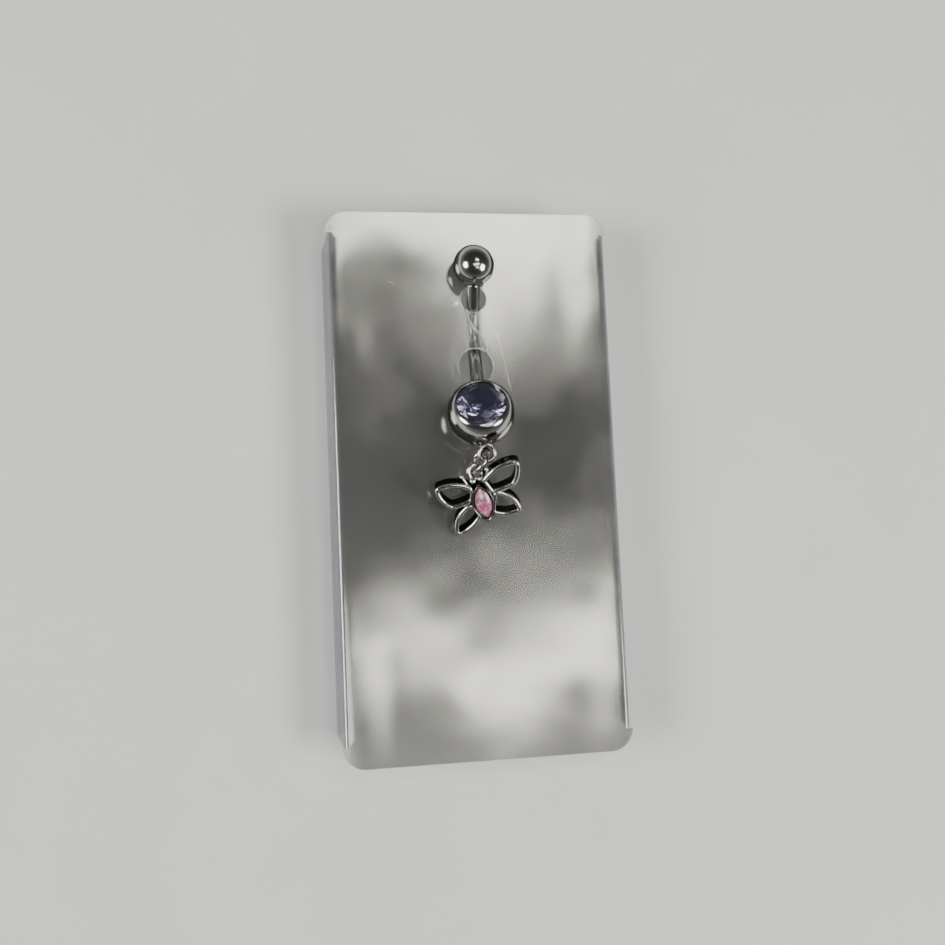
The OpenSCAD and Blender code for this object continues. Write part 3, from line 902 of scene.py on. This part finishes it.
# Metals: colour, roughness, how marked they are and the depth of their faint dents (mm)
STEEL = ((0.42, 0.415, 0.405, 1), 0.13, 0.06, 0.02)
CAST_METAL = ((0.68, 0.67, 0.65, 1), 0.12, 0.10, 0.05)
# The setting's metal: the cast metal darkened all over as painted shade
SHADED_SETTING_METAL = ((0.15, 0.15, 0.155, 1), 0.12, 0.10, 0.03)
# The metals' tint at low angles, and the painted shade colour of the wings' depths
METAL_TINT = (0.4, 0.4, 0.42, 1)
PAINTED_DEPTH_SHADE = (0.10, 0.10, 0.10, 1)


def polished(name, handled, colour, shine, marks, dent):
    """Polished and handled metal, with the values of one of the metals above."""
    material, shader = new_material(name, Metallic=1.0, Base_Color=colour, Specular_Tint=METAL_TINT)
    given = {"Place": objects_place(shader), "Shine": shine, "Marks": marks}
    wear_and_painted_glint = add(shader, "ShaderNodeGroup", given, node_tree=handled).node.outputs
    feed(shader, Roughness=wear_and_painted_glint["Roughness"], Normal=bump(wear_and_painted_glint["Height"], dent))
    return material


def paint_depth_shade(material, place, low, high):
    """Paints shade into a metal's depths: from its own colour at one height over a place to dark at a lower
    one, with a painted highlight as a lighter foot edge."""
    shader = material.node_tree.nodes["Principled BSDF"]
    colour = tuple(shader.inputs["Base Color"].default_value)
    height = height_over(objects_place(shader), place)
    # Painted shade: darker the lower a point lies
    depth = spread(height, low * MM, high * MM, 1.0, 0.0)
    # Painted highlight: the foot edge keeps more of the metal's own colour
    wear_and_painted_glint = spread(height, -WING_DEPTH * MM, (0.16 - WING_DEPTH) * MM, 0.3, 1.0)
    feed(shader, Base_Color=mix(times(depth, wear_and_painted_glint), colour, PAINTED_DEPTH_SHADE))


# Marks on the card's face: middle x and y, half-length, bow, half-width (mm), bearing (degrees) and strength
SCRATCHES = [
    (3.85, 14.8, 3.95, 0.12, 0.06, 101.5, 0.6),
    (-9.8, 24.7, 0.55, 0.05, 0.06, 155.0, 0.7),
    (-8.6, -12.1, 3.4, 0.1, 0.04, 1.0, 0.3),
    (12.0, 16.2, 0.6, 0.02, 0.05, 3.0, 0.6),
    (-12.6, 20.8, 1.6, 0.3, 0.04, 60.0, 0.25),
]
# Whitened spots on the card's face: x, y, radius (mm) and strength
WHITENED = [
    (-1.85, 22.1, 0.55, 1.0),
    (-1.2, 21.85, 0.35, 0.8),
    (1.75, 15.5, 0.22, 0.5),
    (-13.8, -6.3, 0.1, 0.6),
]
# The sheet's opacity from straight above and what low angles add to it
OPACITY, LOW_OPACITY = 0.60, 0.16
# Half-width (mm) and strength of the stripe over the bar in which the sheet is clearer
CLEAR_HALF_WIDTH, CLEARNESS = 1.25, 0.85
# Colours of the sheet's face, folds, haze that is partly painted reflection, and marks
FACE_COLOUR = (0.06, 0.06, 0.063, 1)
FOLD_COLOUR = (0.15, 0.15, 0.21, 1)
HAZE_AND_SHEEN_COLOUR = (0.9, 0.9, 0.9, 1)
MARK_COLOUR = (0.95, 0.95, 0.95, 1)
# Darkest and palest colour of the cut edges
EDGE_COLOURS = (0.62, 0.62, 0.68, 1), (0.93, 0.93, 0.95, 1)


def scratch(axes, x, y, half_length, bow, half_width, bearing, strength):
    """How much a scratch shows: a thin bowed stripe, from its own along and across distances."""
    dx = minus(axes["X"], x * MM)
    dy = minus(axes["Y"], y * MM)
    along = plus(times(dx, cos(bearing)), times(dy, sin(bearing)))
    across = minus(times(dy, cos(bearing)), times(dx, sin(bearing)))
    curve = times(times(along, along), bow / half_length**2 / MM)
    off = maths("ABSOLUTE", minus(across, curve))
    thin = spread(off, half_width * MM * 0.3, half_width * MM, strength, 0.0)
    ended = spread(maths("ABSOLUTE", along), half_length * MM * 0.8, half_length * MM, 1.0, 0.0)
    return times(thin, ended)


def whitened(where, x, y, radius, strength):
    """How white a stressed spot is: it fades from its middle to its radius."""
    away = vector_maths("DISTANCE", where, (x * MM, y * MM, CARD_DEPTH * MM))
    return spread(away, 0.0, radius * MM, strength, 0.0)


def clear_sheet():
    """Clear plastic sheet: faintly smoked, clouded by white haze that is partly painted reflection, bluish at
    its folds, clearer over the bar, with whitened spots where it was cut and a few scratches."""
    material, shader = new_material("clear plastic sheet", IOR=1.9, Specular_IOR_Level=1.0)
    where = objects_place(shader)
    cloud = spread(noise(where, 62.0), 0.38, 0.68)
    axes = add(where, "ShaderNodeSeparateXYZ", {0: where}).node.outputs
    marks = [scratch(axes, *row) for row in SCRATCHES]
    marks += [whitened(where, *row) for row in WHITENED]
    mark = marks[0]
    for other in marks[1:]:
        mark = maths("MAXIMUM", mark, other)
    side = maths("ABSOLUTE", axes["X"])
    folded = spread(side, (BEND_LINE - 0.3) * MM, (BEND_LINE + 0.5) * MM)
    colour = mix(folded, FACE_COLOUR, FOLD_COLOUR)
    # White haze in the colour: partly the plastic's own haze, partly painted reflection
    haze_and_sheen = spread(cloud, 0.0, 1.0, 0.02, 0.12)
    colour = mix(haze_and_sheen, colour, HAZE_AND_SHEEN_COLOUR)
    facing = add(shader, "ShaderNodeLayerWeight", {"Blend": 0.35}, out="Facing")
    alpha = plus(times(facing, LOW_OPACITY), OPACITY)
    (upper, _), (lower, _) = holes()
    way = upper - lower
    half_length, bearing = np.linalg.norm(way) / 2, np.degrees(np.arctan2(*way[::-1]))
    over_bar = scratch(axes, *(upper + lower) / 2, half_length, 0.0, CLEAR_HALF_WIDTH, bearing, CLEARNESS)
    alpha = times(alpha, plus(times(over_bar, -1.0), 1.0))
    feed(
        shader,
        Base_Color=mix(mark, colour, MARK_COLOUR),
        Alpha=maths("MAXIMUM", alpha, mark, clamp=True),
        Roughness=spread(cloud, 0.0, 1.0, 0.12, 0.15),
        Normal=bump(noise(where, 85.0, 1.0), 0.12),
    )
    return material


def cut_edge():
    """The sheet's cut edges, which gather light and show pale and slightly rough."""
    material, shader = new_material("cut edge of the sheet", IOR=1.6)
    saw = noise(objects_place(shader), 3000.0, 2.0)
    feed(
        shader,
        Base_Color=mix(spread(saw, 0.3, 0.7), *EDGE_COLOURS),
        Roughness=spread(saw, 0.3, 0.7, 0.25, 0.45),
        Alpha=spread(saw, 0.2, 0.8, 0.7, 0.95),
    )
    return material


def blue_glass():
    """Pale blue-violet cut glass, with the faintest wear on its facets."""
    material, shader = new_material(
        "blue violet cut glass", Base_Color=(0.25, 0.245, 0.42, 1), IOR=1.5, Transmission_Weight=0.93
    )
    scuffs = noise(objects_place(shader), 900.0)
    feed(shader, Roughness=spread(scuffs, 0.45, 0.8, 0.05, 0.10))
    return material


# Colours of the pink stone: its two clouds, its flecks, a white patch of painted reflection and its border of
# painted shade
DEEP_PINK, PALE_PINK = (0.37, 0.085, 0.19, 1), (0.56, 0.21, 0.33, 1)
ROSE, BLUISH = (0.45, 0.07, 0.20, 1), (0.25, 0.27, 0.50, 1)
PAINTED_GLARE_COLOUR, EDGE_SHADE_COLOUR = (0.86, 0.78, 0.78, 1), (0.10, 0.05, 0.08, 1)


def pink_opal(drop):
    """Milky pink stone: soft clouds, fine white, blue and rose flecks, a painted reflection as a white patch
    at its upper end and painted shade as a darker border by its setting, under a glossy surface."""
    material, shader = new_material(
        "milky pink stone", IOR=1.5, Coat_Weight=1.0, Coat_Roughness=0.03, Subsurface_Weight=0.1,
        Subsurface_Scale=0.0005,
    )
    where = objects_place(shader)
    cloud = spread(noise(where, 900.0), 0.35, 0.68)
    flecks = add(where, "ShaderNodeTexVoronoi", {"Vector": where, "Scale": 4200.0}, out="Color")
    red, green, blue = add(flecks, "ShaderNodeSeparateColor", {0: flecks}).node.outputs
    # A white patch at the stone's upper end: painted reflection
    patch = add(where, "ShaderNodeMapping", {
        "Vector": where, "Location": tuple(drop.at(0.02, 1.05, 0.2) * MM),
        "Rotation": tuple(Matrix(drop.turned(0, 0, 14).axes.tolist()).to_euler()), "Scale": (0.38, 0.62, 1.0),
    }, vector_type="TEXTURE")
    ragged = plus(vector_maths("LENGTH", patch), times(red, 0.0004))
    painted_glare = spread(ragged, 0.0005, 0.001, 0.8, 0.0)
    white = times(spread(red, 0.80, 0.90), 0.4)
    bluish = times(spread(green, 0.84, 0.92), 0.4)
    rose = times(spread(blue, 0.7, 0.9), 0.55)
    # Darker along the stone's low edge by the setting: painted shade
    border = spread(height_over(where, drop), 0.02 * MM, 0.17 * MM, 0.75, 0.0)
    colour = mix(cloud, DEEP_PINK, PALE_PINK)
    colour = mix(rose, colour, ROSE)
    colour = mix(bluish, colour, BLUISH)
    colour = mix(maths("MAXIMUM", white, painted_glare), colour, PAINTED_GLARE_COLOUR)
    feed(
        shader,
        Base_Color=mix(border, colour, EDGE_SHADE_COLOUR),
        Roughness=spread(noise(where, 2500.0), 0.3, 0.7, 0.12, 0.3),
    )
    return material


# Scene


# Darker and paler mottle of the floor, and its glow near the card and far away
FLOOR_COLOURS = (0.75, 0.757, 0.82, 1), (0.775, 0.782, 0.845, 1)
FLOOR_GLOW = (0, 0, 0, 1), (0.2, 0.2, 0.2, 1)
FLOOR_HALF = 1.5


def pale_floor():
    """Plain pale floor with the faintest mottle. It glows a little far from the card, past the lamps' reach,
    so that it stays pale to the horizon."""
    material, shader = new_material("pale floor", Roughness=0.7, Emission_Strength=1.0)
    where = objects_place(shader)
    far = spread(vector_maths("LENGTH", where), 0.2, 1.1)
    mottle = spread(noise(where, 40.0), 0.3, 0.7)
    feed(shader, Emission_Color=mix(far, *FLOOR_GLOW), Base_Color=mix(mottle, *FLOOR_COLOURS))
    return material


def make_floor():
    """A level square floor under the card."""
    corners = [(x * FLOOR_HALF, y * FLOOR_HALF, 0) for x, y in ((-1, -1), (1, -1), (1, 1), (-1, 1))]
    mesh = bpy.data.meshes.new("floor")
    mesh.from_pydata(corners, [], [(0, 1, 2, 3)])
    mesh.materials.append(pale_floor())
    show("floor", mesh)


# Camera: its place over the middle of the card's face (mm), its own right and up, and its lens
CAMERA_AT = (-27.10967, -11.63651, 137.21691)
CAMERA_RIGHT = (0.98189, -0.04481, 0.18410)
CAMERA_UP = (0.02719, 0.99490, 0.09718)
SENSOR_WIDTH = 36
LENS = 43.81


def make_camera():
    """Camera at the photograph's angle: above the card, a little to its left, with the picture's own roll."""
    data = bpy.data.cameras.new("camera")
    data.sensor_width = SENSOR_WIDTH
    data.lens = LENS
    data.clip_start, data.clip_end = 0.01, 10
    right, up = Vector(CAMERA_RIGHT), Vector(CAMERA_UP)
    place = Matrix((right, up, right.cross(up))).transposed().to_4x4()
    place.translation = (Vector(CAMERA_AT) + Vector((0, 0, CARD_DEPTH))) * MM
    camera = show("camera", data)
    camera.matrix_world = place
    bpy.context.scene.camera = camera


# The lamps' colour, faintly warm
LAMP_COLOUR = (1.0, 0.98, 0.86)
# Lamps aimed at the card: name, direction, distance, width and depth (m) and radiance
LAMPS = [
    ("left lamp", (-0.84, -0.05, 0.53), 0.7, 0.30, 0.36, 15),
    ("right lamp", (0.66, -0.32, 0.68), 0.7, 0.28, 0.38, 15),
    ("near lamp", (-0.045, -0.14, 0.99), 1.0, 0.22, 0.22, 6),
    ("front panel", (0.19, -0.38, 0.91), 1.0, 0.30, 0.12, 4.5),
]
# Level panels and the patches of light that they make on the card: name, middle x and y, half-length,
# half-width (mm), bearing (degrees) and radiance
PANELS = [
    ("upper panel", -2.0, 33.5, 15.5, 4.5, 0, 15),
    ("upper right panel", 6.3, 25.5, 8.5, 3.3, 60, 15),
    ("upper left panel", -16.0, 28.5, 2.5, 4.0, 0, 9),
    ("far right panel", 16.3, 28.0, 1.6, 4.5, 0, 11),
    ("lower panel", 6.0, -21.0, 11.5, 4.7, 16, 15),
    ("lower left panel", -8.0, -21.0, 7.0, 2.4, -32, 10),
    ("lowest panel", 3.0, -29.0, 6.0, 1.8, 0, 6),
]
# Height of those panels over the card (mm)
PANEL_HEIGHT = 900.0
# Air at the horizon and overhead
AIR_COLOURS = (0.27, 0.272, 0.275, 1), (0.065, 0.066, 0.068, 1)


def make_lamp(name, place, width, depth, radiance, shape="RECTANGLE"):
    """A soft flat lamp, as bright as its radiance says."""
    data = bpy.data.lights.new(name, "AREA")
    data.shape = shape
    data.size = width
    data.size_y = depth
    data.energy = radiance * np.pi * width * depth
    data.color = LAMP_COLOUR
    show(name, data).matrix_world = place


def aimed_lamp(name, direction, distance, width, depth, radiance):
    """An oval lamp that looks at the card from a direction."""
    back = Vector(direction).normalized()
    across = (Vector((1, 0, 0)) - back.x * back).normalized()
    place = Matrix((across, back.cross(across), back)).transposed().to_4x4()
    place.translation = Vector((0, 0, CARD_DEPTH * MM)) + back * distance
    make_lamp(name, place, width, depth, radiance * np.pi / 4, "ELLIPSE")


def mirrored_panel(name, x, y, half_length, half_width, bearing, radiance):
    """A level panel overhead, placed and sized so that the flat card mirrors it to the camera as a patch at
    x, y, with its long side at a bearing."""
    camera_x, camera_y, camera_z = CAMERA_AT
    grown = PANEL_HEIGHT / camera_z
    place = Matrix.Rotation(np.radians(bearing), 4, "Z")
    place.translation = Vector((
        x + (x - camera_x) * grown, y + (y - camera_y) * grown, CARD_DEPTH + PANEL_HEIGHT,
    )) * MM
    make_lamp(name, place, 2 * half_length * (1 + grown) * MM, 2 * half_width * (1 + grown) * MM, radiance)


def make_lights():
    """Soft lamps at both sides and near the camera make the row of lights on the small ball, and level panels
    overhead are mirrored by the card. The air is paler at the horizon and dark overhead."""
    for lamp in LAMPS:
        aimed_lamp(*lamp)
    for panel in PANELS:
        mirrored_panel(*panel)
    world = bpy.data.worlds.new("studio air")
    bpy.context.scene.world = world
    world.use_nodes = True
    air = world.node_tree.nodes["Background"]
    way = add(air, "ShaderNodeTexCoord", out="Generated")
    height = add(way, "ShaderNodeSeparateXYZ", {0: way}, out="Z")
    feed(air, Color=mix(spread(height, 0.02, 0.5), *AIR_COLOURS))


def make_pieces():
    """Every visible piece, with its material, solid and body."""
    handled = handled_polish()
    steel = polished("polished steel", handled, *STEEL)
    cast = polished("polished cast metal", handled, *CAST_METAL)
    dark = polished("cast metal darkened as painted shade", handled, *SHADED_SETTING_METAL)
    wing_metal = polished("cast metal with painted shade in its depths", handled, *CAST_METAL)
    drop = drop_place()
    # Painted shade in the wings' depths and a painted highlight along their foot edge
    paint_depth_shade(wing_metal, drop, -0.45, -0.15)
    sheet_shape = card_shape()
    sheet = put("card_sheet", sheet_shape, clear_sheet(), "display_card")
    paint_block(sheet, sheet_shape, CUT_EDGES, cut_edge())
    put("curved_bar", chord(bar_shape()), steel, "bar_and_cup")
    put("stone_cup", cup_place(cup_shape()), steel, "bar_and_cup")
    put("eyelet", eyelet_place(ring(EYELET_RADIUS, EYELET_WIRE)), steel, "bar_and_cup")
    put("solder", join(eyelet_solder(), bar_collar()), steel, "bar_and_cup")
    put("small_ball", top_leg(small_ball_shape()), steel, "top_ball", body=BALL_BODY)
    stone_shape = cup_place.turned(0, 0, STONE_TURN)(brilliant_shape())
    stone = put("round_cut_stone", stone_shape, blue_glass(), "round_stone", crease=1)
    soften(stone, width=0.02, segments=1, angle=4)
    put("wire_jump_ring", jump_place.turned(-90, 0, 0)(jump_ring_shape()), steel, "jump_ring")
    for name, corners in CELLS.items():
        put(name + "_wing", drop(wing_shape(corners)), wing_metal, "butterfly_drop")
    # The setting's dark colour is painted shade
    put("marquise_setting", drop(setting_shape()), dark, "butterfly_drop")
    put("beads_and_feelers", drop(head_shape()), cast, "butterfly_drop")
    put("head_loop", loop_place(ring(LOOP_RADIUS, LOOP_WIRE)), cast, "butterfly_drop")
    put("marquise_cut_stone", drop(marquise_shape()), pink_opal(drop), "marquise_stone")


make_camera()
make_lights()
make_floor()
make_pieces()
